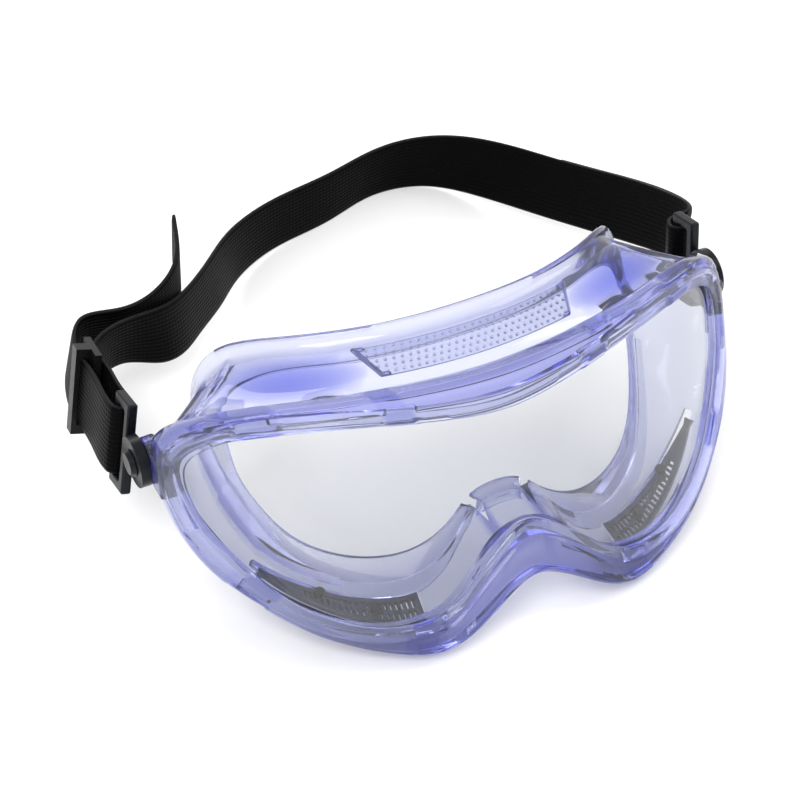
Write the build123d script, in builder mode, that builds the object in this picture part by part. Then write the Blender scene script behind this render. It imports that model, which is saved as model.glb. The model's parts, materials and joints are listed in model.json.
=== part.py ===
from build123d import *
from math import cos, hypot, radians, sin, sqrt
import os

os.makedirs("parts", exist_ok=True)

# Safety goggles standing on a table: a soft clear mask with a curved lens, and a webbing
# strap that hangs from two side clips and rests on the table behind.
# Millimetres. +X is to the right as seen from the front, +Y runs back to the strap, +Z is up.

# ---- driving dimensions -------------------------------------------------------------------
lean = 24.5             # the lens leans back from upright by this angle
foot_y = -104.9         # where the leaning mask's own zero stands in the object's frame
foot_z = 6.16
front_y = -97.4         # strap points are measured back from here

lens_radius = 130.0     # outside curve of the bezel and lens, about an upright axis
bezel_depth = 8.5       # front to back of the bezel channel
lens_front = 2.4        # lens set back from the bezel's face
lens_thickness = 2.0
groove_gap = 0.25       # play between the lens and its groove
lens_grip = 3.0         # how far the lens runs into the bezel beyond the clear view
tab_width = 8.0
tab_height = 1.6        # lens tabs stand out this much further

wall = 1.8              # skirt thickness
face_radius = 80.0      # curve of the rim that lies on the face
face_back = 20.0        # where that curve starts, behind the lens
rim_thickness = 2.2

# Vents sit in windows of the skirt. Their limits are skirt stations, and shares of its depth.
vent_plate = 1.6
top_vent_low = 0.32
top_vent_high = 0.86
top_vent_reach = 1.25
pin_rows = (0.41, 0.59, 0.77)
vent_pin_radius = 0.5
vent_pin_height = 0.7
pin_columns = 10        # to each side of the middle
window_margin = 0.03    # a window is this share larger than its vent
vent_tip = 0.14         # share left at the far end of a lower vent
lower_vent_first = 3.1
lower_vent_last = 6.0
lower_vent_low = 0.25
lower_vent_high = 0.66
vent_ribs = 9
stud_radius = 1.5
stud_height = 2.6       # to each side of the skirt's outer face
stud_play = 0.05
stud_stations = (3.9, 4.85)
stud_share = 0.44

pivot_up = 66.0         # strap clip pivot, on the mask's own axes
pivot_back = 48.0
lug_inner = 85.0        # the side lug is a flat plate from here
lug_outer = 89.7        # to here
pin_radius = 2.0
pin_play = 0.05
pin_head_radius = 4.0
pin_head = 1.4
clip_thickness = 3.0
lug_radius = 6.0
clip_gap = 0.4          # between the lug and the clip
clip_hub_radius = 7.5
clip_reach = 16.0       # pivot to the bar that carries the strap
clip_droop = 14.5       # the strap leaves the clips this far below level
clip_lean = {-1: 15.0, 1: -5.0}     # left and right loops lean in at the top
bar = 3.0               # bars of the clips
slot = 5.0              # slot in front of the clip's bar

strap_width = 20.5
webbing = 1.5           # thickness of the strap
layer_gap = 0.5         # between the webbing and the bar
run_length = {-1: 42.0, 1: 3.0}     # straight webbing behind the left and right bars
run_yaw = {-1: 4.0, 1: -25.0}       # which heads in or out by this angle
return_points = 4       # the right end is sewn back as far as this point of the strap
return_shift = (2.4, 1.0, 0)

slider_length = 14.0
slider_width = 27.0
slider_bar = 2.0
slider_play = 0.4
slider_at = 33.0        # its middle, behind the left bar
sides = ((-1, "left"), (1, "right"))

# ---- the mask's own axes ------------------------------------------------------------------
lean_cos = cos(radians(lean))
lean_sin = sin(radians(lean))


def place(across, up, back):
    """A point given on the leaning mask's own axes, in the object's frame."""
    return Vector(across, foot_y + up * lean_sin + back * lean_cos,
                  foot_z + up * lean_cos - back * lean_sin)


def facing(back):
    """Plane parallel to the lens: x to the right, y up the lens, normal to the front."""
    return Plane(origin=place(0, 0, back), x_dir=(1, 0, 0), z_dir=(0, -lean_cos, lean_sin))


def level(up):
    """Plane square to the lens: x to the right, y to the back, normal up the lens."""
    return Plane(origin=place(0, up, 0), x_dir=(1, 0, 0), z_dir=(0, lean_sin, lean_cos))


def curve_depth(across, radius):
    """How far a round front of this radius has fallen back at a distance from the middle."""
    return radius - sqrt(radius ** 2 - across ** 2)


# ---- outlines, right half from the nose to the top, as (across, up) -------------------------
bezel_half = [(0, 14.5), (7, 12.2), (15, 7.1), (23, 2.2), (31, 0), (40, 1.6), (52, 6.6), (62, 12.6),
              (72, 21.5), (81, 32), (86, 42), (89, 56), (89.5, 67), (86.5, 75), (78, 78.5),
              (50, 79), (30, 77.8), (0, 76.7)]
view_half = [(0, 30.9), (5, 29.4), (10.5, 25.5), (17, 20), (24, 14), (33, 10.8), (43, 11), (56, 16),
             (66, 24), (74, 35), (81, 48), (83.5, 58), (82.5, 67), (75, 71.5), (63, 72.3),
             (46, 70.8), (30, 68.5), (15, 66), (0, 64.6)]
rim_half = [(0, 30), (8, 28), (14, 21.5), (21, 13.5), (30, 9), (42, 9), (53, 14.5), (62, 26),
            (68, 40), (70, 55), (70, 70), (68, 82), (63, 89.5), (48, 91.5), (24, 90.8), (0, 90.8)]
opening_half = [(0, 37.5), (8, 35.6), (14, 30.5), (20, 26.3), (27, 23.8), (37, 23.6), (45, 25.7),
                (54, 31.5), (59.5, 40), (63, 50), (64, 62), (62, 73), (54, 79.5), (38, 81), (0, 81)]

# Lens tabs on the right: place on the lens (across, up) and the way they point, from +X.
lens_tabs = [(29, 68.3, 97), (65, 72.3, 88), (70.5, 29.5, -48), (32, 11, -88)]

# Strap edges from the right clip round the back to the left bend, as (x, back, z).
strap_lower = [(95, 87, 30), (96.5, 104, 24.5), (92, 126, 16), (84.5, 152, 8),
               (75.5, 175, 3), (62, 193, 0.6), (44, 197, 0.3), (24.5, 191, 0.3), (1, 184.5, 1),
               (-18, 172, 3.5), (-30, 157, 8), (-43, 143, 12), (-60, 131, 17), (-72, 132.5, 19.5)]
strap_upper = [(99, 88, 50.5), (104, 105, 44.5), (100.5, 131, 35.5),
               (93.5, 155.5, 27.5), (83.5, 178, 22.5), (66, 193, 21), (46, 195.5, 20.7),
               (25, 190, 20.7), (1, 184, 21.5), (-19, 172.5, 24), (-32, 157.5, 28.5),
               (-45, 143, 32), (-59, 132.5, 35.5), (-72, 128.5, 39)]
tail_lower = [(-84, 137.5, 21.5), (-72, 136.5, 21), (-58, 136.5, 22), (-50, 141, 26),
              (-46.5, 150.5, 35)]
tail_upper = [(-83, 132.5, 42), (-72, 132, 41.5), (-58, 134.5, 42.5), (-50, 139.5, 46.5),
              (-45.5, 150, 55)]

# Where the skirt leaves the bezel and where it meets the rim, station by station.
skirt_root = [(0, 27.5), (8, 25), (17, 14), (30, 4.2), (45, 6.8), (60, 15.5), (73, 28), (81.5, 44),
              (85.5, 60), (83.5, 71.5), (73, 75.8), (50, 76.4), (25, 75.2), (0, 74.4)]
skirt_rim = [(0, 33.8), (8, 32), (16, 24), (28, 17), (42, 17.5), (54, 24.5), (62, 37), (66.5, 50),
             (68, 63), (66, 75), (58, 84), (42, 87), (20, 87), (0, 87)]
root_back = 6.5         # the root lies this far behind the bezel's face, inside the channel


def both_sides(half):
    """The whole outline: the right half up, then its mirror image down the left."""
    return list(half) + [(-x, y) for x, y in reversed(half[1:-1])]


def grown(half, amount):
    """The half outline moved outwards by an amount, square to its own run."""
    moved = []
    for i, (x, y) in enumerate(half):
        before = half[i - 1] if i else (-half[1][0], half[1][1])
        after = half[i + 1] if i < len(half) - 1 else (-half[-2][0], half[-2][1])
        run = (after[0] - before[0], after[1] - before[1])
        size = hypot(*run)
        moved.append((x + amount * run[1] / size if 0 < i < len(half) - 1 else 0,
                      y - amount * run[0] / size))
    return moved


def root_point(station):
    across, up = skirt_root[station]
    return place(across, up, root_back + curve_depth(across, lens_radius))


def rim_point(station):
    across, up = skirt_rim[station]
    return place(across, up, face_back - 1 + curve_depth(across, face_radius))


def on_skirt(station, share):
    """A point on the skirt, a share of the way from the bezel to the rim."""
    low = int(min(station, len(skirt_root) - 2))
    part = station - low
    root = root_point(low) * (1 - part) + root_point(low + 1) * part
    rim = rim_point(low) * (1 - part) + rim_point(low + 1) * part
    return root * (1 - share) + rim * share


def mirrored(point):
    return Vector(-point.X, point.Y, point.Z)


def closed_curve(half_points):
    """A closed curve in space through the right half's points and their mirror images."""
    left = [mirrored(p) for p in reversed(half_points[1:-1])]
    with BuildLine() as line:
        Spline(*half_points, *left, periodic=True)
    return line.edge()


def open_curve(points):
    with BuildLine() as line:
        Spline(*points)
    return line.edge()


# ---- frame: bezel channel, skirt, face rim and side lugs, one soft moulding ------------------
def skirt_between(stations):
    """Ruled face of the skirt, closed round both halves."""
    return Face.make_surface_from_curves(closed_curve([root_point(i) for i in stations]),
                                         closed_curve([rim_point(i) for i in stations]))


def vent_patch(first, last, low, high, tip=None):
    """Patch of the skirt from one station to another; its far end narrows to `tip` deep."""
    shares = [i / 4 for i in range(5)]
    tops = [high if tip is None else high - (high - low - tip) * t ** 2 for t in shares]
    lower = [on_skirt(first + (last - first) * t, low) for t in shares]
    upper = [on_skirt(first + (last - first) * t, top) for t, top in zip(shares, tops)]
    return Face.make_surface_from_curves(open_curve(lower), open_curve(upper))


def top_patch(low, high, reach):
    """Patch across the middle of the top wall, `reach` stations out to each side."""
    last = len(skirt_root) - 1
    edges = []
    for share in (low, high):
        right = [on_skirt(last - reach * i / 3, share) for i in (3, 2, 1, 0)]
        edges.append(open_curve(right + [mirrored(p) for p in reversed(right[:-1])]))
    return Face.make_surface_from_curves(*edges)


def skirt_plane(station, share):
    """Plane lying on the skirt, its normal pointing out of the mask."""
    along = on_skirt(station + 0.1, share) - on_skirt(station - 0.1, share)
    across = on_skirt(station, share + 0.1) - on_skirt(station, share - 0.1)
    return Plane(origin=on_skirt(station, share), x_dir=along, z_dir=across.cross(along))


def between_curves(radius, front, back, start):
    """Tall block between two curved walls whose foremost line is `start` behind the bezel's."""
    with BuildPart() as block:
        with BuildSketch(level(-20)):
            with Locations((0, start + radius)):
                Circle(radius - front)
                Circle(radius - back, mode=Mode.SUBTRACT)
        extrude(amount=130)
    return block.part


def lens_blank(extra):
    """The lens and its tabs as a curved sheet; `extra` is added all round for its groove."""
    with BuildPart() as blank:
        with BuildSketch(facing(-2)):
            with BuildLine():
                Spline(*both_sides(grown(view_half, lens_grip + extra)), periodic=True)
            make_face()
            for across, up, angle in lens_tabs:
                right = Location((across, up, 0), (0, 0, angle))
                left = Location((-across, up, 0), (0, 0, 180 - angle))
                with Locations(right, left):
                    Rectangle(2 * (lens_grip + tab_height + extra), tab_width + 2 * extra)
        extrude(amount=-60)
        front = lens_front - extra
        back = lens_front + lens_thickness + extra
        add(between_curves(lens_radius, front, back, 0), mode=Mode.INTERSECT)
    return blank.part


def mirrored_plane(plane):
    """The same plane on the other side of the mask, its normal still pointing out."""
    return Plane(origin=mirrored(plane.origin), x_dir=mirrored(plane.x_dir),
                 z_dir=mirrored(plane.z_dir))


def keep(part_builder, name):
    """Names a finished piece and writes it out."""
    part_builder.part.label = name
    export_step(part_builder.part, f"parts/{name}.step")


pivot = place(0, pivot_up, pivot_back)
pin_line = [Plane(origin=(side * lug_inner, pivot.Y, pivot.Z), x_dir=(0, 1, 0), z_dir=(side, 0, 0))
            for side in (-1, 1)]

with BuildPart() as rim:
    with BuildSketch(facing(0)):
        with BuildLine():
            Spline(*both_sides(rim_half), periodic=True)
        make_face()
        with BuildLine():
            Spline(*both_sides(opening_half), periodic=True)
        make_face(mode=Mode.SUBTRACT)
    extrude(amount=-75)
    add(between_curves(face_radius, 0, rim_thickness, face_back), mode=Mode.INTERSECT)

with BuildPart() as frame:
    with BuildSketch(facing(-2)):
        with BuildLine():
            Spline(*both_sides(bezel_half), periodic=True)
        make_face()
        with BuildLine():
            Spline(*both_sides(view_half), periodic=True)
        make_face(mode=Mode.SUBTRACT)
    extrude(amount=-60)
    add(between_curves(lens_radius, 0, bezel_depth, 0), mode=Mode.INTERSECT)
    thicken(skirt_between(range(len(skirt_root))), amount=wall)
    add(rim.part)
    for side_plane in pin_line:
        with BuildSketch(side_plane):
            Circle(lug_radius)
            with Locations((-lug_radius, 0)):
                Rectangle(2 * lug_radius, 2 * lug_radius)
        extrude(amount=lug_outer - lug_inner)
        with BuildSketch(side_plane):
            Circle(pin_radius)
        extrude(amount=lug_outer, both=True, mode=Mode.SUBTRACT)
    add(lens_blank(groove_gap), mode=Mode.SUBTRACT)
    thicken(top_patch(top_vent_low - window_margin, top_vent_high + window_margin,
                      top_vent_reach + window_margin), amount=3 * wall, both=True, mode=Mode.SUBTRACT)
    lower_window = vent_patch(lower_vent_first - 0.05, lower_vent_last + 0.1, lower_vent_low - window_margin,
                              lower_vent_high + window_margin, tip=vent_tip + 2 * window_margin)
    thicken(lower_window, amount=2 * wall, both=True, mode=Mode.SUBTRACT)
    thicken(mirror(lower_window, about=Plane.YZ), amount=2 * wall, both=True, mode=Mode.SUBTRACT)
keep(frame, "frame")

with BuildPart() as lens:
    add(lens_blank(0))
keep(lens, "lens")

# ---- vents ----------------------------------------------------------------------------------
with BuildPart() as top_vent:
    thicken(top_patch(top_vent_low, top_vent_high, top_vent_reach), amount=vent_plate)
    pin_planes = [skirt_plane(len(skirt_root) - 1 - top_vent_reach * (column + 0.5) / (pin_columns + 0.5),
                              share) for column in range(pin_columns) for share in pin_rows]
    with Locations(*pin_planes, *[mirrored_plane(p) for p in pin_planes]):
        Cylinder(vent_pin_radius, 2 * (wall + vent_pin_height))
keep(top_vent, "top_vent")

with BuildPart() as lower_vent:
    thicken(vent_patch(lower_vent_first, lower_vent_last, lower_vent_low, lower_vent_high, tip=vent_tip),
            amount=vent_plate)
    for rib in range(vent_ribs):
        start = lower_vent_first + 0.25 + rib * (lower_vent_last - lower_vent_first - 0.8) / vent_ribs
        thicken(vent_patch(start, start + 0.14, lower_vent_low + 0.05, lower_vent_high - 0.27),
                amount=2 * wall, both=True, mode=Mode.SUBTRACT)
    stud_planes = [skirt_plane(station, stud_share) for station in stud_stations]
    with Locations(*stud_planes):
        Cylinder(stud_radius + stud_play, 4 * wall, mode=Mode.SUBTRACT)
keep(lower_vent, "lower_vent_right")

with BuildPart() as lower_vent_left:
    add(mirror(lower_vent.part, about=Plane.YZ))
keep(lower_vent_left, "lower_vent_left")

with BuildPart() as vent_studs:
    with Locations(*stud_planes):
        Cylinder(stud_radius, 2 * stud_height)
keep(vent_studs, "vent_studs_right")

with BuildPart() as vent_studs_left:
    add(mirror(vent_studs.part, about=Plane.YZ))
keep(vent_studs_left, "vent_studs_left")

# ---- pivot pins: rivets with a round head, fast in the lugs ------------------------------------
pin_end = lug_outer + clip_gap + clip_thickness + clip_gap / 2
for side, side_name in sides:
    with BuildPart() as pivot_pin:
        with BuildSketch(Plane(origin=(side * lug_inner, pivot.Y, pivot.Z), z_dir=(side, 0, 0))):
            Circle(pin_radius)
        extrude(amount=pin_end - lug_inner)
        with BuildSketch(Plane(origin=(side * pin_end, pivot.Y, pivot.Z), z_dir=(side, 0, 0))):
            Circle(pin_head_radius)
        extrude(amount=pin_head, taper=30)
    keep(pivot_pin, f"pivot_pin_{side_name}")

# ---- strap clips: a hub on the pivot, and a loop whose rear bar carries the webbing --------------
clip_middle = lug_outer + clip_gap + clip_thickness / 2
back_along = Vector(0, cos(radians(clip_droop)), -sin(radians(clip_droop)))
up_along = Vector(0, sin(radians(clip_droop)), cos(radians(clip_droop)))


def bar_direction(side):
    """Upwards along the clip's bar, which leans in towards the head."""
    tilt = radians(clip_lean[side])
    return up_along * cos(tilt) - Vector(side * sin(tilt), 0, 0)


def clip_plane(side, reach, yaw=0):
    """Plane of a clip's loop, `reach` behind the pivot; x runs back, the normal points out.

    A positive yaw turns it about the bar, so that x heads in behind the mask.
    """
    out = back_along.cross(bar_direction(side)) * side
    turn = radians(yaw)
    origin = Vector(side * clip_middle, pivot.Y, pivot.Z) + back_along * reach
    return Plane(origin=origin, x_dir=back_along * cos(turn) - out * sin(turn),
                 z_dir=out * cos(turn) + back_along * sin(turn))


clip_width = strap_width + 2 * bar + 1
for side, side_name in sides:
    with BuildPart() as clip:
        with BuildSketch(clip_plane(side, clip_reach)):
            with Locations((-slot / 2 - bar / 2, 0)):
                Rectangle(slot + 2 * bar, clip_width)
                Rectangle(slot, clip_width - 2 * bar, mode=Mode.SUBTRACT)
        extrude(amount=bar / 2, both=True)
        fillet(clip.edges(), 0.7)
        with BuildSketch(Plane(origin=(side * clip_middle, pivot.Y, pivot.Z), z_dir=(side, 0, 0))):
            Circle(clip_hub_radius)
            Circle(pin_radius + pin_play, mode=Mode.SUBTRACT)
        extrude(amount=clip_thickness / 2, both=True)
    keep(clip, f"clip_{side_name}")

# ---- webbing --------------------------------------------------------------------------------------
fold_inner = bar / 2 + layer_gap
layer_middle = fold_inner + webbing / 2
half_width = strap_width / 2


def run_end(side, out, up):
    """A corner of the straight run where it meets the curved band: one layer, one edge."""
    run = clip_plane(side, clip_reach, run_yaw[side])
    return run.origin + run.x_dir * run_length[side] + run.z_dir * out * layer_middle \
        + bar_direction(side) * up * half_width


def strap_point(x, back, z):
    return Vector(x, front_y + back, z)


def band(lower, upper):
    """Ruled middle surface of a stretch of webbing between its two edges."""
    return Face.make_surface_from_curves(open_curve(lower), open_curve(upper))


def layer(side, out):
    """One straight layer of webbing beside the clip's bar."""
    run = clip_plane(side, clip_reach, run_yaw[side])
    with BuildPart() as strip:
        with BuildSketch(run):
            with Locations((run_length[side] / 2, 0)):
                Rectangle(run_length[side], strap_width)
        extrude(amount=webbing / 2, both=True)
    return Location(run.z_dir * out * layer_middle) * strip.part


def fold(side):
    """Half turn of webbing through the slot and round the bar."""
    run = clip_plane(side, clip_reach, run_yaw[side])
    across = Plane(origin=run.origin - bar_direction(side) * half_width,
                   x_dir=run.x_dir, z_dir=bar_direction(side))
    with BuildPart() as turn:
        with BuildSketch(across):
            Circle(fold_inner + webbing)
            Circle(fold_inner, mode=Mode.SUBTRACT)
            with Locations((2 * bar, 0)):
                Rectangle(4 * bar, 4 * bar, mode=Mode.SUBTRACT)
        extrude(amount=strap_width)
    return turn.part


loop_lower = [strap_point(*p) for p in strap_lower]
loop_upper = [strap_point(*p) for p in strap_upper]
with BuildPart() as strap_main:
    thicken(band([run_end(1, -1, -1), *loop_lower, run_end(-1, -1, -1)],
                 [run_end(1, -1, 1), *loop_upper, run_end(-1, -1, 1)]), amount=webbing / 2, both=True)
    add(layer(1, -1))
    add(layer(-1, -1))
keep(strap_main, "strap")

# At each clip the webbing turns round the bar and comes back along the outside.
for side, side_name in sides:
    with BuildPart() as strap_fold:
        add(layer(side, 1))
        add(fold(side))
    keep(strap_fold, f"strap_fold_{side_name}")

# On the right it is sewn down behind the clip, on the left its tail stands free.
sewn_lower = [p + Vector(*return_shift) for p in loop_lower[:return_points]]
sewn_upper = [p + Vector(*return_shift) for p in loop_upper[:return_points]]
with BuildPart() as sewn_end:
    thicken(band([run_end(1, 1, -1), *sewn_lower], [run_end(1, 1, 1), *sewn_upper]),
            amount=webbing / 2, both=True)
keep(sewn_end, "strap_sewn_end")

with BuildPart() as strap_tail:
    thicken(band([run_end(-1, 1, -1), *(strap_point(*p) for p in tail_lower)],
                 [run_end(-1, 1, 1), *(strap_point(*p) for p in tail_upper)]),
            amount=webbing / 2, both=True)
keep(strap_tail, "strap_tail")

# ---- slider: flat frame between the two layers, with a raised bar over the outer one ---------------
slider_plane = clip_plane(-1, clip_reach, run_yaw[-1])
rail_inner = half_width + slider_play
raised = layer_middle + webbing / 2 + slider_play
with BuildPart() as slider:
    with BuildSketch(slider_plane):
        with Locations((slider_at, 0)):
            Rectangle(slider_length, slider_width)
            with GridLocations(slider_length / 2, 0, 2, 1):
                Rectangle(slider_length / 2 - 2 * slider_bar, 2 * rail_inner, mode=Mode.SUBTRACT)
    extrude(amount=slider_bar / 2, both=True)
    with BuildSketch(slider_plane.offset(raised)):
        with Locations((slider_at, 0)):
            Rectangle(slider_length / 3, slider_width)
    extrude(amount=slider_bar * 0.75)
    with BuildSketch(slider_plane):
        with Locations((slider_at, 0)):
            with GridLocations(0, slider_width / 2 + rail_inner, 1, 2):
                Rectangle(slider_length / 3, slider_width / 2 - rail_inner)
    extrude(amount=raised + slider_bar * 0.75)
keep(slider, "slider")
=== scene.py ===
import json
import math

import bmesh
import bpy
import numpy as np
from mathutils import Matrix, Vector


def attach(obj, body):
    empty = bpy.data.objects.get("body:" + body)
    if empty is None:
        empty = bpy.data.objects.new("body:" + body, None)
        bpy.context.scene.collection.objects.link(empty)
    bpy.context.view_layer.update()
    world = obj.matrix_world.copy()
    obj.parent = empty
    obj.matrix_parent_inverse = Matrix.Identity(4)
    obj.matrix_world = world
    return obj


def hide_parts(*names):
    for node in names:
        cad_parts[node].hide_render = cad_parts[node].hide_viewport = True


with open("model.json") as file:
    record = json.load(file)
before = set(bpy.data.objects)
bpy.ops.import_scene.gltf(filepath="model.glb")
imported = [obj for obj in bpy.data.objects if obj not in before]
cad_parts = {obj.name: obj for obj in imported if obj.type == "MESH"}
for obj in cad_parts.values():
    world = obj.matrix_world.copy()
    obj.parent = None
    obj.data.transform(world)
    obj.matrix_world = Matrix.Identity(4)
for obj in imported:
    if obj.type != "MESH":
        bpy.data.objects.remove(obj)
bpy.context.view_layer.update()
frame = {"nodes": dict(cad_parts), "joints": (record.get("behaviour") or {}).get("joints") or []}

MM = 0.001
scene = bpy.context.scene

# ---- camera -----------------------------------------------------------------------------------
AZIMUTH = math.radians(-26.2)       # the view is from the object's left
ELEVATION = math.radians(42.85)
EYE = Vector((-0.2174, -0.4528, 0.4693))
camera_data = bpy.data.cameras.new("camera")
camera_data.lens = 99
camera_data.sensor_width = 36
camera = bpy.data.objects.new("camera", camera_data)
scene.collection.objects.link(camera)
camera.location = EYE
towards = Vector((-math.sin(AZIMUTH) * math.cos(ELEVATION), math.cos(AZIMUTH) * math.cos(ELEVATION),
                  -math.sin(ELEVATION)))
camera.rotation_euler = towards.to_track_quat("-Z", "Y").to_euler()
scene.camera = camera

# ---- the mask's own axes: u across, v up the lens, w back from the bezel's face -----------------
LEAN = math.radians(24.5)
hinge = next(j for j in frame["joints"] if j["name"] == "strap_hinge")
pivot = Vector(hinge["pos_m"])
PIVOT_UP = 66.0
PIVOT_BACK = 48.0
UP = np.array([0, math.sin(LEAN), math.cos(LEAN)])
BACK = np.array([0, math.cos(LEAN), -math.sin(LEAN)])
ACROSS = np.array([1.0, 0, 0])
FOOT = np.array(pivot) / MM - PIVOT_UP * UP - PIVOT_BACK * BACK


def place(uvw):
    """Points on the mask's own axes, in millimetres, to the object's frame in metres."""
    uvw = np.asarray(uvw, float)
    world = FOOT + uvw[..., :1] * ACROSS + uvw[..., 1:2] * UP + uvw[..., 2:3] * BACK
    return world * MM


def curve_depth(across, radius):
    return radius - np.sqrt(radius ** 2 - np.asarray(across) ** 2)


# ---- smooth curves ------------------------------------------------------------------------------
def smooth_curve(points, closed=False):
    """Cubic curve through points; the result takes an array of point numbers, whole or between."""
    p = np.array(points, float)
    if closed:
        p = np.vstack([p, p[:1]])
    gap = np.linalg.norm(np.diff(p, axis=0), axis=1)
    n = len(p)
    grid = np.zeros((n, n))
    right = np.zeros_like(p)
    for i in range(1, n - 1):
        grid[i, i - 1:i + 2] = gap[i - 1], 2 * (gap[i - 1] + gap[i]), gap[i]
        right[i] = 6 * ((p[i + 1] - p[i]) / gap[i] - (p[i] - p[i - 1]) / gap[i - 1])
    grid[0, 0] = 1
    grid[-1, -1] = 1
    if closed:
        grid[0, -1] = -1
        grid[-1, [0, 1]] = 2 * gap[0], gap[0]
        grid[-1, [-2, -1]] = gap[-1], 2 * gap[-1]
        right[-1] = 6 * ((p[1] - p[0]) / gap[0] - (p[-1] - p[-2]) / gap[-1])
    bend = np.linalg.solve(grid, right)

    def at(number):
        number = np.atleast_1d(np.asarray(number, float))
        i = np.clip(np.floor(number).astype(int), 0, n - 2)
        b = (number - i)[:, None]
        a = 1 - b
        curve = ((a ** 3 - a) * bend[i] + (b ** 3 - b) * bend[i + 1]) * gap[i][:, None] ** 2 / 6
        return a * p[i] + b * p[i + 1] + curve
    return at


def both_sides(half):
    return list(half) + [(-x, y) for x, y in reversed(half[1:-1])]


def matched(stations, numbers, s):
    """Point numbers for stations s, passing smoothly through the pairs given."""
    x = np.array(stations, float)
    y = np.array(numbers, float)
    slope = np.diff(y) / np.diff(x)
    inner = 2 * slope[1:] * slope[:-1] / (slope[1:] + slope[:-1])
    tangent = np.concatenate([slope[:1], inner, slope[-1:]])
    i = np.clip(np.searchsorted(x, s, side="right") - 1, 0, len(x) - 2)
    h = x[i + 1] - x[i]
    t = (s - x[i]) / h
    return (y[i] * (1 + 2 * t) * (1 - t) ** 2 + tangent[i] * h * t * (1 - t) ** 2
            + y[i + 1] * t ** 2 * (3 - 2 * t) + tangent[i + 1] * h * t ** 2 * (t - 1))


# ---- outlines of the mask, right half from the nose to the top ------------------------------------
bezel_half = [(0, 14.5), (7, 12.2), (15, 7.1), (23, 2.2), (31, 0), (40, 1.6), (52, 6.6), (62, 12.6),
              (72, 21.5), (81, 32), (86, 42), (89, 56), (89.5, 67), (86.5, 75), (78, 78.5),
              (50, 79), (30, 77.8), (0, 76.7)]
view_half = [(0, 30.9), (5, 29.4), (10.5, 25.5), (17, 20), (24, 14), (33, 10.8), (43, 11), (56, 16),
             (66, 24), (74, 35), (81, 48), (83.5, 58), (82.5, 67), (75, 71.5), (63, 72.3),
             (46, 70.8), (30, 68.5), (15, 66), (0, 64.6)]
rim_half = [(0, 30), (8, 28), (14, 21.5), (21, 13.5), (30, 9), (42, 9), (53, 14.5), (62, 26),
            (68, 40), (70, 55), (70, 70), (67.5, 81.5), (62, 89), (48, 91.5), (24, 90.8), (0, 90.8)]
opening_half = [(0, 37.5), (8, 35.6), (14, 30.5), (20, 26.3), (27, 23.8), (37, 23.6), (45, 25.7),
                (54, 31.5), (59.5, 40), (63, 50), (64, 62), (62, 73), (54, 79.5), (38, 81), (0, 81)]
skirt_root = [(0, 27.5), (8, 25), (17, 14), (30, 4.2), (45, 6.8), (60, 15.5), (73, 28), (81.5, 44),
              (87, 60), (86.3, 72.5), (75, 76.6), (50, 76.6), (25, 75.2), (0, 74.4)]
skirt_rim = [(0, 33.8), (8, 32), (16, 24), (28, 17), (42, 17.5), (54, 24.5), (62, 37), (66.5, 50),
             (68.8, 63), (67.6, 77.5), (59.5, 86), (42, 87.5), (20, 87), (0, 87)]
LENS_RADIUS = 130.0
FACE_RADIUS = 80.0
BEZEL_DEPTH = 8.5
LENS_FRONT = 2.4
LENS_THICKNESS = 2.0
GROOVE_GAP = 0.25
ROOT_BACK = 6.5
FACE_BACK = 20.0
RIM_THICKNESS = 2.2
WALL = 1.8
LAST = len(skirt_root) - 1

# Rows of rings across the skirt as (station, lowest share, highest share) of its depth. Over the lower
# vents these two shares are the limits of the window.
wall_rows = [(0, 0.22, 0.7), (3.05, 0.22, 0.68), (3.6, 0.22, 0.67), (4.1, 0.22, 0.63), (4.6, 0.22, 0.58),
             (5.1, 0.22, 0.5), (5.6, 0.22, 0.4), (6.1, 0.22, 0.3), (9, 0.3, 0.7), (LAST - 1.2, 0.37, 0.85),
             (LAST, 0.37, 0.85)]
ROW_STEPS = 6
WINDOW_FIRST = 3.05
WINDOW_LAST = 6.1


root_curve = smooth_curve(both_sides(skirt_root), True)
rim_curve = smooth_curve(both_sides(skirt_rim), True)


def skirt_edges(s):
    """The skirt's root and rim at stations s, and the direction out of the mask between them."""
    root = root_curve(s)
    rim = rim_curve(s)
    root3 = np.column_stack([root, ROOT_BACK + curve_depth(root[:, 0], LENS_RADIUS)])
    rim3 = np.column_stack([rim, FACE_BACK - 1 + curve_depth(rim[:, 0], FACE_RADIUS)])
    step = 0.01
    ahead = np.asarray(s) + step
    along = np.column_stack([root_curve(ahead) - root, np.zeros_like(root3[:, 2])])
    normal = np.cross(along, rim3 - root3)
    normal /= np.linalg.norm(normal, axis=1)[:, None]
    return root3, rim3, normal


def on_skirt(s, share, out):
    """Points on the skirt at a share of its depth, lifted out of the mask by `out`."""
    s = np.atleast_1d(np.asarray(s, float))
    root3, rim3, normal = skirt_edges(s)
    share = np.broadcast_to(share, s.shape)[:, None]
    return root3 * (1 - share) + rim3 * share + normal * np.broadcast_to(out, s.shape)[:, None]


# ---- frame: one soft clear moulding ----------------------------------------------------------------
# Each side of the nose flap has one slit, a V at this station.
SLIT = 0.82
SLIT_HALF = 0.15
SLIT_FOOT = 0.45        # share of the skirt's depth that a slit reaches down to
SLIT_TOP = 0.95

# The bezel is cut back in front of each lens tab, placed on the right as (across, up).
lens_tabs = [(29, 68.3), (65, 72.3), (70.5, 29.5), (32, 11)]
TAB_HALF = 4.8
TAB_EDGE = 0.6

HOLLOW_AT = 10.75       # station of the dished hollow beside the top vent
HOLLOW_HALF = 0.9
RIDGE_AT = 9.62         # station where the ridge of the upper corner starts
RIDGE_LEAN = 0.25
STATION_STEPS = 20
SHARP_ANGLE = 52


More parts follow.
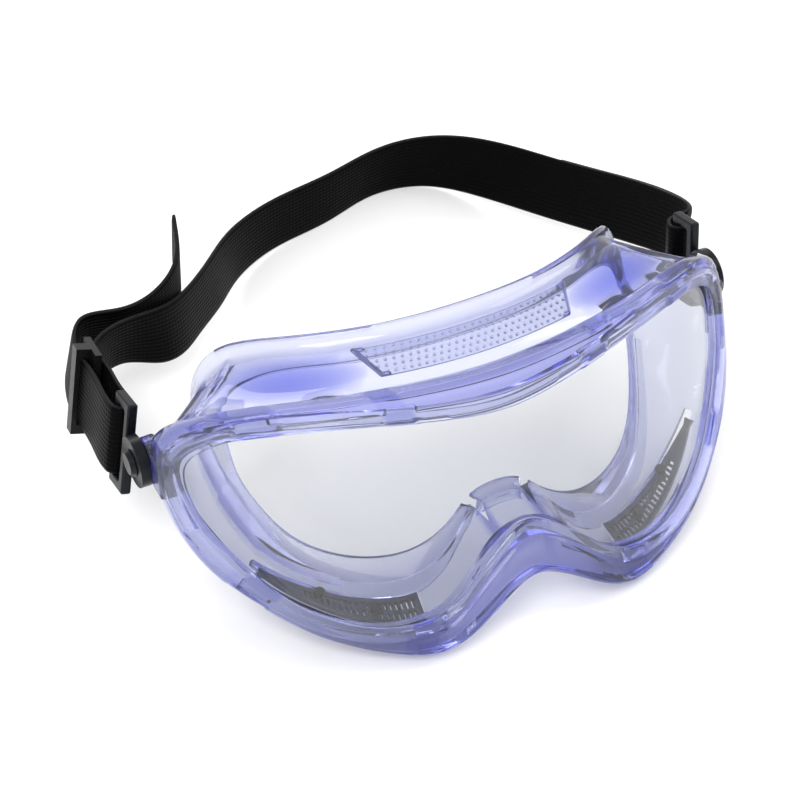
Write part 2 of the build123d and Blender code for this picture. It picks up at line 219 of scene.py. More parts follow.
def mask_stations():
    """Stations up one side, closer where a window or a slit of the nose flap needs them."""
    s = list(np.linspace(0, LAST, STATION_STEPS * LAST + 1))
    for edge in (WINDOW_FIRST, WINDOW_LAST):
        s = [x for x in s if abs(x - edge) > 0.03] + [edge]
    s = [x for x in s if abs(x - SLIT) > 1.2 * SLIT_HALF]
    s += [SLIT + SLIT_HALF * k for k in (-1.15, -1.02, -1, -0.5, 0, 0.5, 1, 1.02, 1.15)]
    return np.array(sorted(s))


def frame_rings():
    """Rings of points round the moulding's section, each ring one loop round the mask."""
    s = mask_stations()
    root3, rim3, normal = skirt_edges(s)
    rim = rim3[:, :2]
    marks = (0, 3, 7, 9, 10, LAST)
    bezel = smooth_curve(both_sides(bezel_half), True)(matched(marks, (0, 4, 10, 12.6, 14, 17), s))
    view = smooth_curve(both_sides(view_half), True)(matched(marks, (0, 4.6, 9.8, 12, 13.3, 18), s))
    flange = smooth_curve(both_sides(rim_half), True)(matched(marks, (0, 4, 8.7, 11.4, 12.2, 15), s))
    eye = smooth_curve(both_sides(opening_half), True)(matched(marks, (0, 4.3, 9, 11.3, 12, 14), s))
    width = np.linalg.norm(bezel - view, axis=1)
    out = (bezel - view) / width[:, None]

    def on_bezel(reach, back):
        """Ring on the bezel, `reach` out from the clear view and `back` behind the face."""
        uv = view + out * np.broadcast_to(reach, s.shape)[:, None]
        return np.column_stack([uv, back + curve_depth(uv[:, 0], LENS_RADIUS)])

    def on_flange(uv, back):
        return np.column_stack([uv, back + curve_depth(uv[:, 0], FACE_RADIUS)])

    rows = np.array(wall_rows)
    low = np.interp(s, rows[:, 0], rows[:, 1])
    high = np.interp(s, rows[:, 0], rows[:, 2])
    start = 2.1 / (rim3[:, 2] - root3[:, 2])
    shares = [start]
    shares += [low + (high - low) * k / ROW_STEPS for k in range(ROW_STEPS + 1)]
    shares.append(np.full_like(s, 0.96))

    def hollow_at(share):
        """How far into the dished hollow a ring is, from 0 at its edge to 1 in its middle."""
        return np.clip(1 - ((s - HOLLOW_AT) / HOLLOW_HALF) ** 2 - ((share - 0.52) / 0.4) ** 2, 0, 1)

    def ridge_at(share, half):
        return np.exp(-((s - RIDGE_AT - RIDGE_LEAN * share) / half) ** 2)

    def skirt_ring(share, inner):
        """Ring on the skirt's outside, or on its inside where the hollows make it thicker."""
        hollow = hollow_at(share) ** 0.8
        depth = -1.9 * hollow + 0.9 * ridge_at(share, 0.1)
        if inner:
            depth = -WALL - 2.6 * hollow
        return on_skirt(s, np.minimum(share, foot), depth)

    off_slit = np.abs(s - SLIT) / SLIT_HALF
    in_slit = off_slit < 1.01
    foot = np.where(in_slit, SLIT_FOOT + (SLIT_TOP - SLIT_FOOT) * np.minimum(off_slit, 1), 2.0)
    inwards = flange - eye
    inwards /= np.linalg.norm(inwards, axis=1)[:, None]
    groove = np.minimum(4.9, width - 1.5)
    step = np.minimum(5.2, 0.45 * width)
    back_lip = LENS_FRONT + LENS_THICKNESS + GROOVE_GAP
    relief = np.zeros_like(s)
    for tab in lens_tabs:
        away = np.linalg.norm(view - np.array(tab), axis=1)
        relief = np.maximum(relief, np.clip((TAB_HALF - away) / TAB_EDGE, 0, 1))
    valley = 1.6 * np.clip((width - 9) / 5, 0, 1)
    wall_dip = 0.7 * relief

    rings = [
        on_bezel(0.5, back_lip),
        on_bezel(groove, back_lip),
        on_bezel(groove, LENS_FRONT - GROOVE_GAP),
        on_bezel(0.4, LENS_FRONT - GROOVE_GAP),
        on_bezel(0.0, 1.7),
        on_bezel(0.1, 1.25 - 0.6 * relief),
        on_bezel(0.6, 1.0 - 0.9 * relief),
        on_bezel(step - 1.1, 0.85 - 0.9 * relief),
        on_bezel(step - 0.5, 0.65 - 0.7 * relief),
        on_bezel(step, 0.2 - 0.2 * relief),
        on_bezel(step + 0.6, 0.0),
        on_bezel(width * 0.3 + step * 0.7, valley * 0.8),
        on_bezel(width * 0.6 + step * 0.4, valley),
        on_bezel(width * 0.85 + step * 0.15 - 0.6, 0.1),
        on_bezel(width - 1.5, 0.15),
        on_bezel(width - 0.7, 0.55),
        on_bezel(width - 0.2 - wall_dip, 1.3),
        on_bezel(width - wall_dip, 2.3),
        on_bezel(width - wall_dip, 4.4),
        on_bezel(width, 6.6),
        on_bezel(width - 0.25, 7.7),
        on_bezel(width - 0.9, 8.4),
        on_bezel(width - 1.4, BEZEL_DEPTH)]
    outside = len(rings)
    rings += [skirt_ring(share, False) for share in shares]
    outward_uv = normal[:, :2] / np.linalg.norm(normal[:, :2], axis=1)[:, None]
    edge = rim + outward_uv * 0.9
    flange_row = len(rings)
    rings += [
        on_flange(edge, FACE_BACK),
        on_flange(flange * 0.55 + edge * 0.45, FACE_BACK),
        on_flange(flange - (flange - edge) * 0.12, FACE_BACK + 0.1),
        on_flange(flange, FACE_BACK + 0.6),
        on_flange(flange, FACE_BACK + RIM_THICKNESS - 0.6),
        on_flange(flange - (flange - edge) * 0.12, FACE_BACK + RIM_THICKNESS - 0.1),
        on_flange(rim, FACE_BACK + RIM_THICKNESS),
        on_flange(eye + inwards * 1.2, FACE_BACK + RIM_THICKNESS - 0.15),
        on_flange(eye + inwards * 0.3, FACE_BACK + RIM_THICKNESS - 0.6),
        on_flange(eye, FACE_BACK + RIM_THICKNESS / 2),
        on_flange(eye + inwards * 0.3, FACE_BACK + 0.6),
        on_flange(eye + inwards * 1.2, FACE_BACK + 0.15)]
    inside = len(rings)
    # Inside a slit the whole flange falls back to the slit's foot on the skirt.
    last_row = inside - flange_row - 1
    for k in range(last_row + 1):
        cut = on_skirt(s, np.minimum(foot, 1), -WALL * k / last_row)
        rings[flange_row + k] = np.where(in_slit[:, None], cut, rings[flange_row + k])
    rings += [skirt_ring(share, True) for share in reversed(shares)]
    rings += [
        on_bezel(1.2, BEZEL_DEPTH),
        on_bezel(0.6, BEZEL_DEPTH - 0.3),
        on_bezel(0.35, BEZEL_DEPTH - 1.0),
        on_bezel(0.35, back_lip + 0.5)]

    # Painted shade: how much deeper a violet than the plain wall is painted into the vinyl's colour, ring
    # by ring, in the hollows, on the ridges, at the tab notches, beside the slits and along the bezel's
    # lower band, where thick vinyl and shade look darker.
    painted_shade = np.zeros((len(rings), len(s)))
    painted_shade[4:10] = 0.5 * relief
    # Painted shade on the bezel's outer band, stronger at the tab notches and darker towards the bottom.
    painted_shade[outside - 9:outside] = 0.22 + 0.6 * relief + 0.3 * np.clip((22 - bezel[:, 1]) / 14, 0, 1)
    painted_shade[outside - 12:outside - 9] = 0.35 * relief
    # Painted shade in the dished hollows and along the corner ridge.
    for k, share in enumerate(shares):
        colour = hollow_at(share) ** 0.5 + 0.35 * ridge_at(share, 0.12)
        painted_shade[outside + k] = painted_shade[inside + len(shares) - 1 - k] = np.minimum(colour, 1)
    # Painted shade outlining the nose flap's slits.
    slit_edge_shade = 0.8 * np.clip(1.7 - off_slit, 0, 1)
    painted_shade[outside:inside + len(shares)] = np.maximum(painted_shade[outside:inside + len(shares)], slit_edge_shade)
    return s, np.array(rings), painted_shade, outside + 1, inside + 1


def mesh_object(name, vertices, faces, smooth=True):
    mesh = bpy.data.meshes.new(name)
    mesh.from_pydata([tuple(v) for v in vertices], [], faces)
    mesh.validate()
    for face in mesh.polygons:
        face.use_smooth = smooth
    piece = bpy.data.objects.new(name, mesh)
    scene.collection.objects.link(piece)
    return piece


def fix_normals(piece):
    grid = bmesh.new()
    grid.from_mesh(piece.data)
    bmesh.ops.recalc_face_normals(grid, faces=grid.faces)
    grid.to_mesh(piece.data)
    grid.free()


def make_frame():
    s, rings, painted_shade, outer_row, inner_row = frame_rings()
    inner_last = inner_row + ROW_STEPS
    left = rings[:, 1:-1][:, ::-1] * np.array([-1, 1, 1])
    loops = np.concatenate([rings, left], axis=1)
    station = np.concatenate([s, s[1:-1][::-1]])
    n_rings, n = loops.shape[:2]
    vertices = place(loops.reshape(-1, 3))

    def number(ring, i):
        return (ring % n_rings) * n + i % n

    def open_here(i):
        """Whether the strip from place i to the next lies in a window."""
        low, high = sorted((station[i % n], station[(i + 1) % n]))
        return low > WINDOW_FIRST - 0.001 and high < WINDOW_LAST + 0.001

    faces = []
    for i in range(n):
        for ring in range(n_rings):
            in_outer = outer_row <= ring < outer_row + ROW_STEPS
            in_inner = inner_row <= ring < inner_last
            if (in_outer or in_inner) and open_here(i):
                continue
            faces.append((number(ring, i), number(ring, i + 1),
                          number(ring + 1, i + 1), number(ring + 1, i)))
        for k in range(ROW_STEPS + 1):
            outer, inner = outer_row + k, inner_last - k
            if k in (0, ROW_STEPS) and open_here(i):
                faces.append((number(outer, i), number(outer, i + 1),
                              number(inner, i + 1), number(inner, i)))
            if k < ROW_STEPS and open_here(i) != open_here(i - 1):
                faces.append((number(outer, i), number(outer + 1, i),
                              number(inner - 1, i), number(inner, i)))
    piece = mesh_object("frame_moulding", vertices, faces)
    fix_normals(piece)
    piece.data.set_sharp_from_angle(angle=math.radians(SHARP_ANGLE))
    # Painted shade: a per-vertex attribute that deepens the vinyl's colour in hollows, on ridges, at tab
    # notches, beside the slits and along the bezel's lower band.
    painted_shade_layer = piece.data.attributes.new("painted_shade", "FLOAT", "POINT")
    painted_shade_layer.data.foreach_set("value", np.concatenate([painted_shade, painted_shade[:, 1:-1][:, ::-1]], axis=1).ravel())
    return piece


def extruded(name, outline, x_low, x_high):
    """Plate with a flat outline given as (y, z), between two values of x; all in millimetres."""
    n = len(outline)
    vertices = [(x * MM, y * MM, z * MM) for x in (x_low, x_high) for y, z in outline]
    faces = [tuple(range(n)), tuple(range(2 * n - 1, n - 1, -1))]
    faces += [(k, k + n, (k + 1) % n + n, (k + 1) % n) for k in range(n)]
    piece = mesh_object(name, vertices, faces, smooth=False)
    fix_normals(piece)
    return piece


def soften(piece, width, segments=2):
    """Rounds a piece's hard edges by this width in millimetres."""
    bevel = piece.modifiers.new("soften", "BEVEL")
    bevel.width = width * MM
    bevel.segments = segments
    bevel.limit_method = "ANGLE"
    bevel.harden_normals = True
    return piece


LUG_INNER = 85.0
LUG_OUTER = 89.7
LUG_RADIUS = 6.0


def make_lug(side, name):
    """Side lug: a plate from the bezel back to a round end about the clip's pivot."""
    y, z = pivot.y / MM, pivot.z / MM
    outline = [(y - 2 * LUG_RADIUS, z - LUG_RADIUS)]
    outline += [(y + LUG_RADIUS * math.cos(a), z + LUG_RADIUS * math.sin(a))
                for a in np.linspace(-math.pi / 2, math.pi / 2, 17)]
    outline.append((y - 2 * LUG_RADIUS, z + LUG_RADIUS))
    low, high = sorted((side * LUG_INNER, side * LUG_OUTER))
    return soften(extruded(name, outline, low, high), 0.9, 3)


def block_faces(steps):
    """Faces of a four-sided block made of `steps` sections of four corners each."""
    last = 4 * (steps - 1)
    faces = [(0, 1, 2, 3), (last + 3, last + 2, last + 1, last)]
    for i in range(0, last, 4):
        faces += [(i + k, i + 4 + k, i + 4 + (k + 1) % 4, i + (k + 1) % 4) for k in range(4)]
    return faces


def skirt_block(side, s_from, s_to, low, high, inner, outer, steps=2):
    """Block lying along the skirt on one side; low and high may be functions of the station."""
    s = np.linspace(s_from, s_to, steps)
    lows = low(s) if callable(low) else np.full_like(s, low)
    highs = high(s) if callable(high) else np.full_like(s, high)
    corners = [on_skirt(s, lows, inner), on_skirt(s, lows, outer),
               on_skirt(s, highs, outer), on_skirt(s, highs, inner)]
    points = place(np.stack(corners, axis=1).reshape(-1, 3))
    return points * np.array([side, 1, 1]), block_faces(steps)


def joined(name, blocks):
    """One piece from several blocks of vertices and faces."""
    vertices = []
    faces = []
    for points, quads in blocks:
        faces += [tuple(k + len(vertices) for k in quad) for quad in quads]
        vertices += list(points)
    piece = mesh_object(name, vertices, faces, smooth=False)
    fix_normals(piece)
    return piece


# Lower vents, in stations and shares of the skirt's depth.
VENT_FIRST = 3.08
VENT_LAST = 5.95
VENT_LOW = 0.21
VENT_BORDER = 0.075
VENT_SOLID = 0.8        # stations of plain plate at the pointed end
RIB_PITCH = 0.1
RIB_WIDTH = 0.05


def vent_high(s):
    """Upper edge of a lower vent, falling to its pointed end."""
    t = (s - VENT_FIRST) / (VENT_LAST - VENT_FIRST)
    return 0.68 - 0.43 * t ** 1.8


def make_lower_vent(side, name):
    """Crescent grille: a raised border round an open field crossed by ribs and a middle rail."""
    first, last, low = VENT_FIRST, VENT_LAST, VENT_LOW
    field_end = last - VENT_SOLID
    rail = low + 0.2

    def below_edge(s):
        return vent_high(s) - VENT_BORDER

    blocks = [
        skirt_block(side, first, last, low, low + VENT_BORDER, -1.7, 0.35, 30),
        skirt_block(side, first, last, below_edge, vent_high, -1.7, 0.45, 30),
        skirt_block(side, first, first + 0.12, low, vent_high, -1.7, 0.6, 3),
        skirt_block(side, field_end, last, low, vent_high, -1.6, 0.3, 8),
        skirt_block(side, first, field_end, rail, rail + 0.05, -1.4, 0.0, 30)]
    for start in np.arange(first + 0.17, field_end, RIB_PITCH):
        top = max(below_edge(start), low + VENT_BORDER + 0.01)
        blocks.append(skirt_block(side, start, start + RIB_WIDTH, low + VENT_BORDER, top, -1.4, 0.0))
    return soften(joined(name, blocks), 0.12)


# Top vent: a panel whose ends lean outwards from front to back.
TOP_LOW = 0.34
TOP_HIGH = 0.88
TOP_REACH = 1.24
TOP_LEAN = 0.32
TOP_FACE = 0.75
PIN_FOOT = 0.55
PIN_TIP = 0.36
PIN_TOP = 1.35
PIN_SIDES = 8
TOP_COLUMNS = 27
TOP_ROWS = 5


def on_panel(a, b, out):
    """Points on the top vent: a from end to end, b from front to back, both 0 to 1."""
    a = np.atleast_1d(np.asarray(a, float))
    reach = TOP_REACH + TOP_LEAN * np.broadcast_to(b, a.shape)
    return on_skirt(LAST + (2 * a - 1) * reach, TOP_LOW + (TOP_HIGH - TOP_LOW) * np.asarray(b), out)


def panel_block(a_low, a_high, b_low, b_high, inner, outer, steps=2):
    """Block lying along the top vent, between two values of a and two of b."""
    a = np.linspace(a_low, a_high, steps)
    corners = [on_panel(a, b_low, inner), on_panel(a, b_low, outer),
               on_panel(a, b_high, outer), on_panel(a, b_high, inner)]
    return place(np.stack(corners, axis=1).reshape(-1, 3)), block_faces(steps)


def panel_pin(a, b):
    """Short round pin standing on the top vent, narrower at its tip."""
    foot_point, tip = on_panel(a, b, TOP_FACE - 0.2)[0], on_panel(a, b, PIN_TOP)[0]
    axis = tip - foot_point
    side_way = np.cross(axis, (0, 0, 1.0))
    side_way /= np.linalg.norm(side_way)
    other = np.cross(axis, side_way) / np.linalg.norm(axis)
    points = [centre + radius * (math.cos(t) * side_way + math.sin(t) * other)
              for centre, radius in ((foot_point, PIN_FOOT), (tip, PIN_TIP))
              for t in np.linspace(0, 2 * math.pi, PIN_SIDES + 1)[:-1]]
    n = PIN_SIDES
    faces = [tuple(range(n)), tuple(range(2 * n - 1, n - 1, -1))]
    faces += [(k, k + n, (k + 1) % n + n, (k + 1) % n) for k in range(n)]
    return place(np.array(points)), faces


def make_top_vent():
    """Long clear panel with rows of pins, standing slightly proud of the mask's top wall."""
    blocks = [panel_block(0, 1, 0, 1, 0.05, TOP_FACE, 50)]
    for row in range(TOP_ROWS):
        for column in range(TOP_COLUMNS):
            a = (column + 0.75 + 0.5 * (row % 2)) / (TOP_COLUMNS + 1)
            blocks.append(panel_pin(a, (row + 0.6) / (TOP_ROWS + 0.2)))
    return soften(joined("top_vent_panel", blocks), 0.1)


def make_vent_ends():
    """Raised bars that close the two ends of the top vent."""
    blocks = []
    for bar_low, bar_high, hook_low, hook_high in ((0.0, 0.014, 0.014, 0.045), (0.986, 1.0, 0.955, 0.986)):
        blocks.append(panel_block(bar_low, bar_high, 0.0, 1.0, 0.1, 1.7, 3))
        blocks.append(panel_block(hook_low, hook_high, 0.0, 0.1, 0.1, 1.5, 3))
        blocks.append(panel_block(hook_low, hook_high, 0.9, 1.0, 0.1, 1.5, 3))
    return soften(joined("vent_end_bars", blocks), 0.3)


frame_piece = make_frame()
lugs = [make_lug(-1, "lug_left"), make_lug(1, "lug_right")]
lower_vents = {"left": make_lower_vent(-1, "vent_grille_left"),
               "right": make_lower_vent(1, "vent_grille_right")}
top_vent = make_top_vent()
vent_ends = make_vent_ends()


# ---- strap: one length of elastic webbing --------------------------------------------------------
STRAP_WIDTH = 20.5
WEBBING = 1.5
BAR = 3.0
LAYER_MIDDLE = BAR / 2 + 0.5 + WEBBING / 2
CLIP_MIDDLE = 91.6
CLIP_REACH = 16.0
CLIP_DROOP = math.radians(14.5)
CLIP_LEAN = {-1: math.radians(15), 1: math.radians(-5)}
RUN_REACHES = {-1: (0, 14, 28, 42), 1: (0, 1.5, 3)}
RUN_YAW = {-1: math.radians(4), 1: math.radians(-25)}
FRONT_Y = -97.4
SEWN_PAIRS = 4          # pairs of the loop that the sewn end lies against
STRAP_STEP = 1.2
# Strap edges from the right clip round the back to the left bend, as (x, back, z).
strap_lower = [(95, 87, 30), (96.5, 104, 24.5), (92, 126, 16), (84.5, 152, 8),
               (75.5, 175, 3), (62, 193, 0.6), (44, 197, 0.3), (24.5, 191, 0.3), (1, 184.5, 1),
               (-18, 172, 3.5), (-30, 157, 8), (-43, 143, 12), (-60, 131, 17), (-72, 132.5, 19.5)]
strap_upper = [(99, 88, 50.5), (104, 105, 44.5), (100.5, 131, 35.5),
               (93.5, 155.5, 27.5), (83.5, 178, 22.5), (66, 193, 21), (46, 195.5, 20.7),
               (25, 190, 20.7), (1, 184, 21.5), (-19, 172.5, 24), (-32, 157.5, 28.5),
               (-45, 143, 32), (-59, 132.5, 35.5), (-72, 128.5, 39)]
tail_lower = [(-84, 137.5, 21.5), (-72, 136.5, 21), (-58, 136.5, 22), (-50, 141, 26),
              (-46.5, 150.5, 35)]
tail_upper = [(-83, 132.5, 42), (-72, 132, 41.5), (-58, 134.5, 42.5), (-50, 139.5, 46.5),
              (-45.5, 150, 55)]


def clip_axes(side):
    """Origin at a clip's bar, then the run's heading, its outward side and the bar's direction."""
    back = np.array([0, math.cos(CLIP_DROOP), -math.sin(CLIP_DROOP)])
    up = np.array([0, math.sin(CLIP_DROOP), math.cos(CLIP_DROOP)])
    along_bar = up * math.cos(CLIP_LEAN[side]) - side * math.sin(CLIP_LEAN[side]) * ACROSS
    out = np.cross(back, along_bar) * side
    origin = np.array([side * CLIP_MIDDLE, pivot.y / MM, pivot.z / MM]) + back * CLIP_REACH
    turn = RUN_YAW[side]
    heading = back * math.cos(turn) - out * math.sin(turn)
    outward = out * math.cos(turn) + back * math.sin(turn)
    return origin, heading, outward, along_bar


def straight(side, layer, reaches):
    """Pairs of edge points along the straight run beside a clip's bar."""
    origin, heading, outward, along_bar = clip_axes(side)
    middle = [origin + heading * r + outward * layer * LAYER_MIDDLE for r in reaches]
    return [(m - along_bar * STRAP_WIDTH / 2, m + along_bar * STRAP_WIDTH / 2) for m in middle]


def round_bar(side, first_layer):
    """Pairs of edge points on the half turn round the bar, from one layer to the other."""
    origin, heading, outward, along_bar = clip_axes(side)
    pairs = []
    for angle in np.linspace(0, math.pi, 7)[1:-1]:
        turned = outward * first_layer * math.cos(angle) - heading * math.sin(angle)
        middle = origin + LAYER_MIDDLE * turned
        pairs.append((middle - along_bar * STRAP_WIDTH / 2, middle + along_bar * STRAP_WIDTH / 2))
    return pairs


def strap_pairs():
    """Edge pairs of the whole length, from the sewn end round both bars to the free tail."""
    shift = np.array([0, FRONT_Y, 0])
    loop = [(np.array(a) + shift, np.array(b) + shift) for a, b in zip(strap_lower, strap_upper)]
    tail = [(np.array(a) + shift, np.array(b) + shift) for a, b in zip(tail_lower, tail_upper)]
    sewn = []
    for k in range(SEWN_PAIRS - 1, -1, -1):
        ahead, behind = loop[k + 1], loop[max(k - 1, 0)]
        along = (ahead[0] + ahead[1]) - (behind[0] + behind[1])
        out = np.cross(along, loop[k][1] - loop[k][0])
        out *= (WEBBING + 0.15) / np.linalg.norm(out)
        sewn.append((loop[k][0] + out, loop[k][1] + out))
    right, left = RUN_REACHES[1], RUN_REACHES[-1]
    return (sewn + straight(1, 1, right[::-1]) + round_bar(1, 1) + straight(1, -1, right) + loop
            + straight(-1, -1, left[::-1]) + round_bar(-1, -1) + straight(-1, 1, left) + tail)


def webbing_section():
    """The webbing's section as (share of half width, share of half thickness), thinner at its edges."""
    across = np.linspace(-1, 1, 25)
    thick = 1 - 0.45 * np.abs(across) ** 10
    return list(zip(across, thick)) + list(zip(across[::-1], -thick[::-1]))


def make_strap():
    pairs = strap_pairs()
    lower = smooth_curve([p[0] for p in pairs])
    upper = smooth_curve([p[1] for p in pairs])
    gaps = [np.linalg.norm(sum(pairs[i + 1]) - sum(pairs[i])) / 2 for i in range(len(pairs) - 1)]
    numbers = []
    for i, gap in enumerate(gaps):
        count = max(3, int(gap / STRAP_STEP))
        numbers += list(i + np.arange(count) / count)
    numbers.append(len(gaps))
    low, top = lower(numbers), upper(numbers)
    middle = (low + top) / 2
    wide = top - low
    wide = wide / np.linalg.norm(wide, axis=1)[:, None]
    along = np.gradient(middle, axis=0)
    normal = np.cross(along, wide)
    normal /= np.linalg.norm(normal, axis=1)[:, None]
    travelled = np.concatenate([[0], np.cumsum(np.linalg.norm(np.diff(middle, axis=0), axis=1))])
    section = webbing_section()
    n = len(section)
    rows = len(middle)
    vertices = [middle[i] + wide[i] * a * STRAP_WIDTH / 2 + normal[i] * t * WEBBING / 2
                for i in range(rows) for a, t in section]
    vertices = np.array(vertices) * MM
    faces = []
    for i in range(rows - 1):
        faces += [(i * n + k, i * n + (k + 1) % n, (i + 1) * n + (k + 1) % n, (i + 1) * n + k)
                  for k in range(n)]
    faces.append(tuple(range(n))[::-1])
    faces.append(tuple(range((rows - 1) * n, rows * n)))
    piece = mesh_object("strap_webbing", vertices, faces)
    fix_normals(piece)
    layer = piece.data.uv_layers.new(name="weave")
    for loop in piece.data.loops:
        row, k = divmod(loop.vertex_index, n)
        layer.data[loop.index].uv = (travelled[row] * MM * 10, section[k][0] * 0.5 + 0.5)
    return piece, travelled[-1]


strap_piece, strap_length = make_strap()


# ---- materials ----------------------------------------------------------------------------------
class Shade:
    """A node material being built: node() adds a node, link() joins two sockets."""

    def __init__(self, name):
        self.material = bpy.data.materials.new(name)
        self.material.use_nodes = True
        self.nodes = self.material.node_tree.nodes
        self.links = self.material.node_tree.links
        self.nodes.clear()
        self.output = self.nodes.new("ShaderNodeOutputMaterial")
        self.shader = self.node("ShaderNodeBsdfPrincipled")
        self.link(self.shader, "BSDF", self.output, "Surface")

    def node(self, kind, **values):
        made = self.nodes.new(kind)
        for key, value in values.items():
            key = key.replace("_", " ")
            if key in made.inputs:
                made.inputs[key].default_value = value
            else:
                setattr(made, key.replace(" ", "_"), value)
        return made

    def link(self, source, output, target, socket):
        self.links.new(source.outputs[output], target.inputs[socket])

    def set(self, **values):
        for key, value in values.items():
            self.shader.inputs[key.replace("_", " ")].default_value = value

    def noise(self, scale, detail=3.0, roughness=0.55):
        place_node = self.node("ShaderNodeTexCoord")
        made = self.node("ShaderNodeTexNoise", Scale=scale, Detail=detail, Roughness=roughness)
        self.link(place_node, "Object", made, "Vector")
        return made

    def spread(self, source, output, low, high, target, socket):
        made = self.node("ShaderNodeMapRange")
        made.inputs["To Min"].default_value = low
        made.inputs["To Max"].default_value = high
        self.link(source, output, made, "Value")
        self.link(made, "Result", target, socket)
        return made

    def blend(self, source, output, first, second):
        """Base colour between two colours by the value of another node."""
        made = self.node("ShaderNodeMix", data_type="RGBA")
        made.inputs[6].default_value = (*first, 1)
        made.inputs[7].default_value = (*second, 1)
        self.link(source, output, made, "Factor")
        self.links.new(made.outputs[2], self.shader.inputs["Base Color"])

    def bump(self, source, output, strength, distance):
        made = self.node("ShaderNodeBump", Strength=strength, Distance=distance)
        self.link(source, output, made, "Height")
        self.link(made, "Normal", self.shader, "Normal")
        return made


def clear_vinyl(name, tint, density, roughness):
    """Soft clear vinyl: tinted through its depth, with a deeper violet painted into its base colour as
    painted shade wherever the mesh carries the painted-shade attribute, and the faint ripple of a
    moulding.
    """
    shade = Shade(name)
    shade.set(Transmission_Weight=0.95, IOR=1.36)
    # Painted shade: the attribute blends the base colour towards a deep violet.
    painted_shade_layer = shade.node("ShaderNodeAttribute", attribute_name="painted_shade")
    shade.blend(painted_shade_layer, "Fac", (0.9, 0.92, 0.965), (0.3, 0.33, 0.8))
    ripple = shade.noise(90, 2)
    shade.spread(ripple, "Fac", roughness * 0.6, roughness * 1.5, shade.shader, "Roughness")
    shade.bump(ripple, "Fac", 0.05, 0.0005)
    depth = shade.node("ShaderNodeVolumeAbsorption")
    depth.inputs["Color"].default_value = tint
    depth.inputs["Density"].default_value = density
    shade.link(depth, "Volume", shade.output, "Volume")
    return shade.material


def clear_lens():
    """Polycarbonate: clear and glossy, with the faint smear of handling."""
    shade = Shade("polycarbonate")
    shade.set(Base_Color=(0.86, 0.87, 0.865, 1), Transmission_Weight=1.0, IOR=1.5)
    smear = shade.noise(28, 4)
    shade.spread(smear, "Fac", 0.0, 0.05, shade.shader, "Roughness")
    return shade.material


def dark_plastic(name, colour, lighter, roughness):
    """Hard plastic, mottled between two tones and finely grained."""
    shade = Shade(name)
    mottle = shade.noise(420, 3)
    shade.blend(mottle, "Fac", colour, lighter)
    shade.spread(mottle, "Fac", roughness * 0.75, roughness * 1.25, shade.shader, "Roughness")
    shade.set(Specular_IOR_Level=0.18)
    grain = shade.noise(2600, 2)
    shade.bump(grain, "Fac", 0.15, 0.0002)
    return shade.material


def webbing_cloth():
    """Black elastic webbing: ribs along its length, a fine cross weave and a painted highlight that makes
    its edges slightly paler.
    """
    shade = Shade("elastic_webbing")
    shade.set(Sheen_Weight=0.004, Sheen_Roughness=0.5, Specular_IOR_Level=0.03)
    spot = shade.node("ShaderNodeUVMap", uv_map="weave")
    split = shade.node("ShaderNodeSeparateXYZ")
    shade.link(spot, "UV", split, "Vector")
    ribs = shade.node("ShaderNodeTexWave", Scale=4.6, Distortion=0.15, bands_direction="Y")
    shade.link(spot, "UV", ribs, "Vector")
    picks = shade.node("ShaderNodeTexWave", Scale=22.0, Distortion=0.4, bands_direction="X")
    shade.link(spot, "UV", picks, "Vector")
    weave = shade.node("ShaderNodeMath", operation="MULTIPLY_ADD")
    shade.link(picks, "Fac", weave, 0)
    weave.inputs[1].default_value = 0.45
    shade.link(ribs, "Fac", weave, 2)
    edge = shade.node("ShaderNodeMath", operation="SUBTRACT")
    shade.link(split, "Y", edge, 0)
    edge.inputs[1].default_value = 0.5
    away = shade.node("ShaderNodeMath", operation="ABSOLUTE")
    shade.link(edge, "Value", away, 0)
    # Painted highlight: this ramp lightens the colour towards both edges, where the webbing's edge catches
    # light.
    edge_highlight_ramp = shade.node("ShaderNodeValToRGB")
    edge_highlight_ramp.color_ramp.elements[0].position = 0.475
    edge_highlight_ramp.color_ramp.elements[0].color = (0.0022, 0.0022, 0.0026, 1)
    edge_highlight_ramp.color_ramp.elements[1].position = 0.497
    edge_highlight_ramp.color_ramp.elements[1].color = (0.022, 0.019, 0.019, 1)
    shade.link(away, "Value", edge_highlight_ramp, "Fac")
    fuzz = shade.noise(700, 4)
    tone = shade.node("ShaderNodeMix", data_type="RGBA", blend_type="MULTIPLY")
    tone.inputs[0].default_value = 0.5
    shade.link(edge_highlight_ramp, "Color", tone, 6)
    shade.link(fuzz, "Color", tone, 7)
    shade.links.new(tone.outputs[2], shade.shader.inputs["Base Color"])
    shade.spread(weave, "Value", 0.62, 0.42, shade.shader, "Roughness")
    shade.bump(weave, "Value", 0.35, 0.0003)
    return shade.material


def dress(piece, material):
    piece.data.materials.clear()
    piece.data.materials.append(material)


VIOLET = (0.03, 0.06, 0.7, 1)
vinyl = clear_vinyl("clear_vinyl", VIOLET, 110, 0.045)
deep_vinyl = clear_vinyl("deep_vinyl", VIOLET, 420, 0.08)
vent_clear = clear_vinyl("vent_clear", (0.05, 0.08, 0.7, 1), 260, 0.06)
webbing = webbing_cloth()
smoke = dark_plastic("smoke_plastic", (0.003, 0.0035, 0.005), (0.007, 0.008, 0.011), 0.3)
grille = dark_plastic("grille_plastic", (0.02, 0.024, 0.055), (0.035, 0.042, 0.09), 0.4)
stud_plastic = dark_plastic("stud_plastic", (0.002, 0.0025, 0.006), (0.004, 0.005, 0.011), 0.3)
black = dark_plastic("black_plastic", (0.002, 0.002, 0.0025), (0.005, 0.005, 0.006), 0.35)

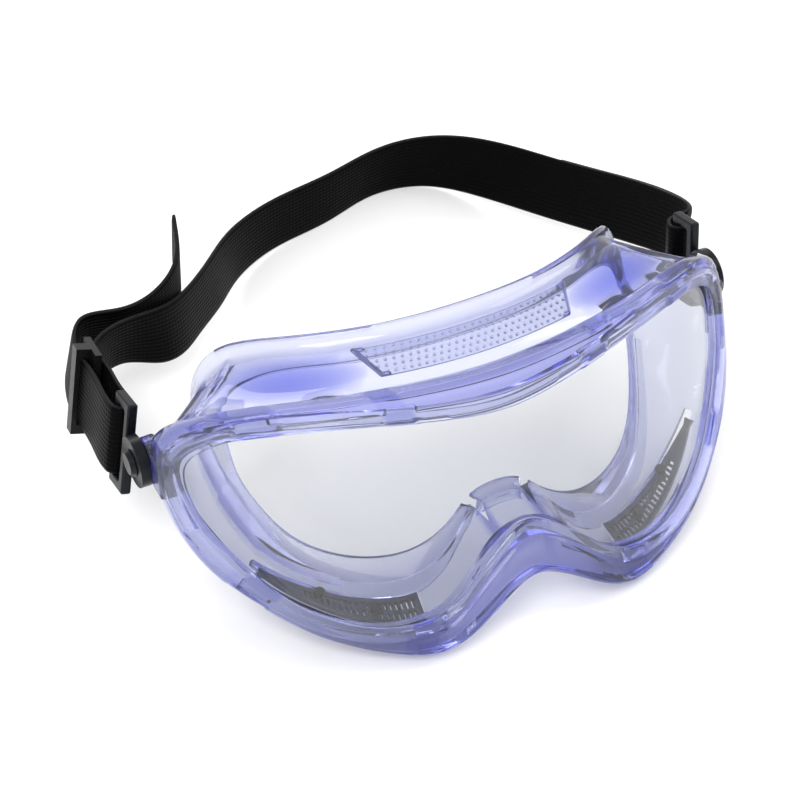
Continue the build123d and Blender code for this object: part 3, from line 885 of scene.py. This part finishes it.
nodes = frame["nodes"]
dress(frame_piece, vinyl)
dress(strap_piece, webbing)
dress(nodes["lens"], clear_lens())
dress(top_vent, vent_clear)
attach(top_vent, "mask")
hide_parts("top_vent")
for side in ("left", "right"):
    dress(lower_vents[side], grille)
    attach(lower_vents[side], "mask")
    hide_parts(f"lower_vent_{side}")
    dress(nodes[f"vent_studs_{side}"], stud_plastic)
    dress(nodes[f"pivot_pin_{side}"], smoke)
    dress(nodes[f"clip_{side}"], smoke)
dress(nodes["slider"], black)
for lug in lugs:
    dress(lug, deep_vinyl)
    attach(lug, "mask")
dress(vent_ends, deep_vinyl)
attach(vent_ends, "mask")
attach(frame_piece, "mask")
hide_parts("frame")
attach(strap_piece, "strap")
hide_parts("strap", "strap_fold_left", "strap_fold_right", "strap_sewn_end", "strap_tail")

# ---- floor and light ------------------------------------------------------------------------------
floor = mesh_object("floor", [(-3, -3, 0), (3, -3, 0), (3, 3, 0), (-3, 3, 0)], [(0, 1, 2, 3)])
floor_shade = Shade("pale_floor")
speck = floor_shade.noise(6, 5)
floor_shade.spread(speck, "Fac", 0.75, 0.85, floor_shade.shader, "Roughness")
floor_shade.set(Base_Color=(0.9, 0.9, 0.9, 1), Specular_IOR_Level=0.1)
dress(floor, floor_shade.material)

world = bpy.data.worlds.new("studio")
scene.world = world
world.use_nodes = True
world.node_tree.nodes["Background"].inputs["Color"].default_value = (1, 1, 1, 1)
world.node_tree.nodes["Background"].inputs["Strength"].default_value = 0.85


def softbox(name, where, size, power):
    data = bpy.data.lights.new(name, "AREA")
    data.shape = "RECTANGLE"
    data.size, data.size_y = size
    data.energy = power
    light = bpy.data.objects.new(name, data)
    scene.collection.objects.link(light)
    light.location = where
    light.rotation_euler = (Vector((0, 0, 0.04)) - Vector(where)).to_track_quat("-Z", "Y").to_euler()


softbox("key", (-0.5, -0.5, 0.9), (0.5, 0.5), 7)
softbox("fill", (0.8, -0.2, 0.7), (0.4, 0.8), 4)
softbox("back", (0.1, 0.9, 0.7), (0.9, 0.3), 4)
scene.view_settings.view_transform = "Standard"
